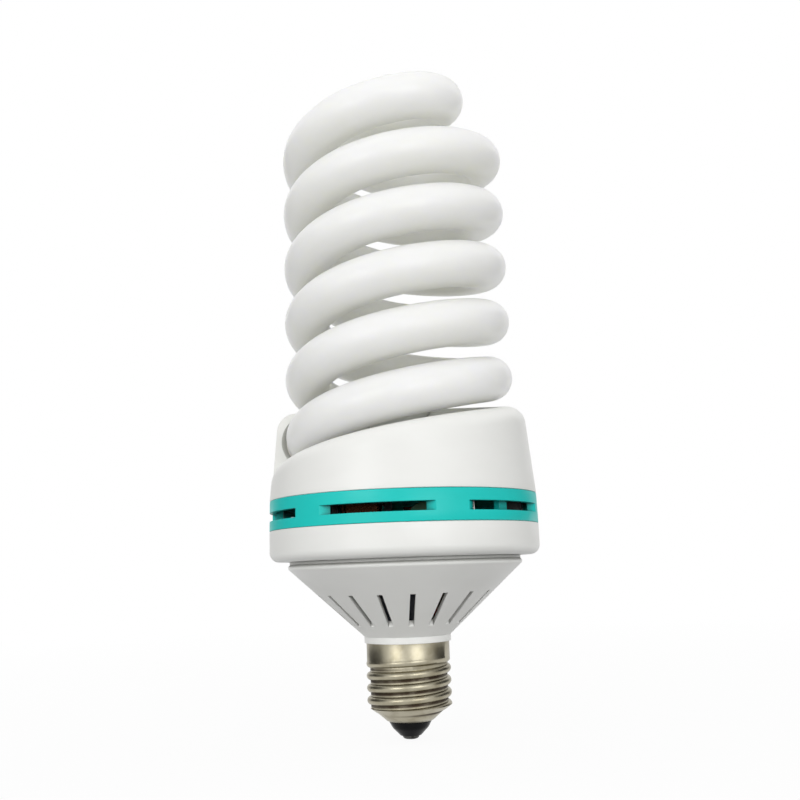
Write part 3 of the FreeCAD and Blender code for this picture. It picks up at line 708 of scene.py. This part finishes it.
@dataclass
class Studio:
    """Pale floor, soft light, white background and the camera."""

    floor_side: float = 8.0
    floor_z: float = -0.2 * MM
    floor_tone: float = 0.36
    floor_seen: float = 0.96
    floor_white: float = 0.93
    floor_near: float = 0.05
    floor_far: float = 0.60
    sky_low: float = 1.08
    sky_high: float = 0.50
    lamps: tuple[Panel, ...] = (
        Panel("key_softbox", (0.45, -1.02, 0.31), 0.6, 3.3),
        Panel("fill_softbox", (-0.62, -0.95, 0.26), 0.5, 2.8))
    cards: tuple[Panel, ...] = (
        Panel("left_flag", (-0.55, 0.15, 0.10), 0.7),
        Panel("right_flag", (0.55, 0.15, 0.10), 0.7))
    flag_tone: float = 0.04
    flag_roughness: float = 0.9
    eye: Point = (0.0, -0.3000, 0.0512)
    yaw: float = 0.025
    pitch: float = 10.258
    roll: float = -1.963
    lens: float = 41.969
    sensor: float = 36.0
    nearest: float = 0.01
    aim: Point = (0.0, 0.0, 0.11)

    def build(self) -> None:
        """Set the room, the lamps and the camera."""
        self.world()
        self.floor()
        for lamp in self.lamps:
            self.softbox(lamp)
        for card in self.cards:
            self.flag(card)
        self.camera()
        bpy.context.scene.view_settings.view_transform = "Standard"

    def seen(self, tree: bpy.types.NodeTree) -> bpy.types.NodeSocket:
        """One where a ray should see the white background, and nought elsewhere.

        Args:
            tree: Node tree that the nodes go into.

        Returns:
            The output with that value.
        """
        path = tree.nodes.new("ShaderNodeLightPath")
        total = path.outputs[Ray.CAMERA.value]
        for ray in (Ray.GLOSSY, Ray.TRANSMISSION):
            larger = tree.nodes.new("ShaderNodeMath")
            larger.operation = "MAXIMUM"
            tree.links.new(total, larger.inputs[0])
            tree.links.new(path.outputs[ray.value], larger.inputs[1])
            total = larger.outputs[0]
        return total

    def world(self) -> None:
        """Room light that is weaker overhead, and white for the rays that see the background."""
        world = bpy.data.worlds.new("studio")
        bpy.context.scene.world = world
        world.use_nodes = True
        tree = world.node_tree
        tree.nodes.clear()
        output = tree.nodes.new("ShaderNodeOutputWorld")
        mix = tree.nodes.new("ShaderNodeMixShader")
        room = tree.nodes.new("ShaderNodeBackground")
        white = tree.nodes.new("ShaderNodeBackground")
        room.inputs["Color"].default_value = WHITE
        place = tree.nodes.new("ShaderNodeTexCoord")
        split = tree.nodes.new("ShaderNodeSeparateXYZ")
        fade = tree.nodes.new("ShaderNodeMapRange")
        fade.inputs["To Min"].default_value = self.sky_low
        fade.inputs["To Max"].default_value = self.sky_high
        tree.links.new(place.outputs["Generated"], split.inputs[0])
        tree.links.new(split.outputs[2], fade.inputs["Value"])
        tree.links.new(fade.outputs["Result"], room.inputs["Strength"])
        white.inputs["Color"].default_value = WHITE
        white.inputs["Strength"].default_value = 1.0
        tree.links.new(self.seen(tree), mix.inputs[0])
        tree.links.new(room.outputs[0], mix.inputs[1])
        tree.links.new(white.outputs[0], mix.inputs[2])
        tree.links.new(mix.outputs[0], output.inputs["Surface"])

    def floor(self) -> None:
        """Pale floor that runs out to white and keeps a faint shadow."""
        bpy.ops.object.select_all(action="DESELECT")
        bpy.ops.mesh.primitive_plane_add(size=self.floor_side, location=(0.0, 0.0, self.floor_z))
        plane = bpy.context.object
        plane.name = "studio_floor"
        material = bpy.data.materials.new("pale_floor")
        material.use_nodes = True
        tree = material.node_tree
        tree.nodes.clear()
        output = tree.nodes.new("ShaderNodeOutputMaterial")
        mix = tree.nodes.new("ShaderNodeMixShader")
        share = tree.nodes.new("ShaderNodeMath")
        share.operation = "MULTIPLY"
        place = tree.nodes.new("ShaderNodeTexCoord")
        reach = tree.nodes.new("ShaderNodeVectorMath")
        reach.operation = "LENGTH"
        fade = tree.nodes.new("ShaderNodeMapRange")
        fade.inputs["From Min"].default_value = self.floor_near
        fade.inputs["From Max"].default_value = self.floor_far
        fade.inputs["To Min"].default_value = self.floor_white
        fade.inputs["To Max"].default_value = 1.0
        tree.links.new(place.outputs["Object"], reach.inputs[0])
        tree.links.new(reach.outputs["Value"], fade.inputs["Value"])
        tree.links.new(fade.outputs["Result"], share.inputs[1])
        matt = tree.nodes.new("ShaderNodeBsdfDiffuse")
        tone = tree.nodes.new("ShaderNodeMix")
        tone.data_type = "RGBA"
        tone.inputs[MIX_FIRST].default_value = (self.floor_tone,) * 3 + (1.0,)
        tone.inputs[MIX_SECOND].default_value = (self.floor_seen,) * 3 + (1.0,)
        white = tree.nodes.new("ShaderNodeEmission")
        white.inputs["Color"].default_value = WHITE
        white.inputs["Strength"].default_value = 1.0
        seen = self.seen(tree)
        tree.links.new(seen, tone.inputs[MIX_SHARE])
        tree.links.new(tone.outputs[MIX_RESULT], matt.inputs["Color"])
        tree.links.new(seen, share.inputs[0])
        tree.links.new(share.outputs[0], mix.inputs[0])
        tree.links.new(matt.outputs[0], mix.inputs[1])
        tree.links.new(white.outputs[0], mix.inputs[2])
        tree.links.new(mix.outputs[0], output.inputs["Surface"])
        plane.data.materials.append(material)

    def softbox(self, panel: Panel) -> None:
        """Add a square soft light aimed at the object.

        Args:
            panel: Name, place, side and power of the light.
        """
        data = bpy.data.lights.new(panel.name, "AREA")
        data.shape = "SQUARE"
        data.size = panel.side
        data.energy = panel.watts
        light = bpy.data.objects.new(panel.name, data)
        bpy.context.scene.collection.objects.link(light)
        light.location = panel.place
        ahead = Vector(self.aim) - Vector(panel.place)
        light.rotation_euler = ahead.to_track_quat("-Z", "Y").to_euler()

    def flag(self, panel: Panel) -> None:
        """Stand up a dark card that only reflections see.

        Args:
            panel: Name, place and side of the card.
        """
        bpy.ops.object.select_all(action="DESELECT")
        inward = Vector((-panel.place[0], -panel.place[1], 0.0))
        turn = inward.to_track_quat("Z", "Y").to_euler()
        bpy.ops.mesh.primitive_plane_add(size=panel.side, location=panel.place, rotation=turn)
        card = bpy.context.object
        card.name = panel.name
        card.visible_camera = False
        card.visible_diffuse = False
        card.visible_shadow = False
        card.visible_transmission = False
        sheet = NodeSheet(panel.name)
        sheet.surface(Base_Color=(self.flag_tone,) * 3, Roughness=self.flag_roughness)
        card.data.materials.append(sheet.material)

    def camera(self) -> None:
        """Camera at the height, tilt and distance of the view."""
        yaw, pitch, roll = (math.radians(a) for a in (self.yaw, self.pitch, self.roll))
        level = math.cos(pitch)
        ahead = Vector((math.sin(yaw) * level, math.cos(yaw) * level, math.sin(pitch)))
        right = Vector((math.cos(yaw), -math.sin(yaw), 0.0))
        up = right.cross(ahead)
        side = right * math.cos(roll) + up * math.sin(roll)
        top = up * math.cos(roll) - right * math.sin(roll)
        data = bpy.data.cameras.new("view")
        data.sensor_width = self.sensor
        data.lens = self.lens
        data.clip_start = self.nearest
        camera = bpy.data.objects.new("view", data)
        bpy.context.scene.collection.objects.link(camera)
        turn = Matrix((side, top, -ahead)).transposed().to_4x4()
        camera.matrix_world = Matrix.Translation(Vector(self.eye)) @ turn
        bpy.context.scene.camera = camera


def pick(piece: bpy.types.Object, kind: str, test: Callable[[list[Vector]], bool]) -> None:
    """Enter edit mode with only the wanted edges or faces selected.

    Args:
        piece: Mesh object, which is made active.
        kind: EDGE or FACE.
        test: Says from its corner points whether an element is wanted.
    """
    bpy.context.view_layer.objects.active = piece
    bpy.ops.object.mode_set(mode="EDIT")
    bpy.ops.mesh.select_mode(type=kind)
    bpy.ops.mesh.select_all(action="DESELECT")
    bpy.ops.object.mode_set(mode="OBJECT")
    mesh = piece.data
    for element in mesh.edges if kind == "EDGE" else mesh.polygons:
        element.select = test([mesh.vertices[i].co for i in element.vertices])
    bpy.ops.object.mode_set(mode="EDIT")


def main() -> None:
    """Load the frame, build and dress each sub-assembly, and light it."""
    logging.basicConfig(level=logging.INFO, format="%(name)s: %(message)s")
    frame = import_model()
    bench = Bench(frame["nodes"])
    for assembly in (DischargeTube(), Housing(), ScrewCap(), Ballast()):
        assembly.build(bench)
        LOG.info("%s done", type(assembly).__name__)
    Studio().build()


if __name__ == "__main__":
    main()
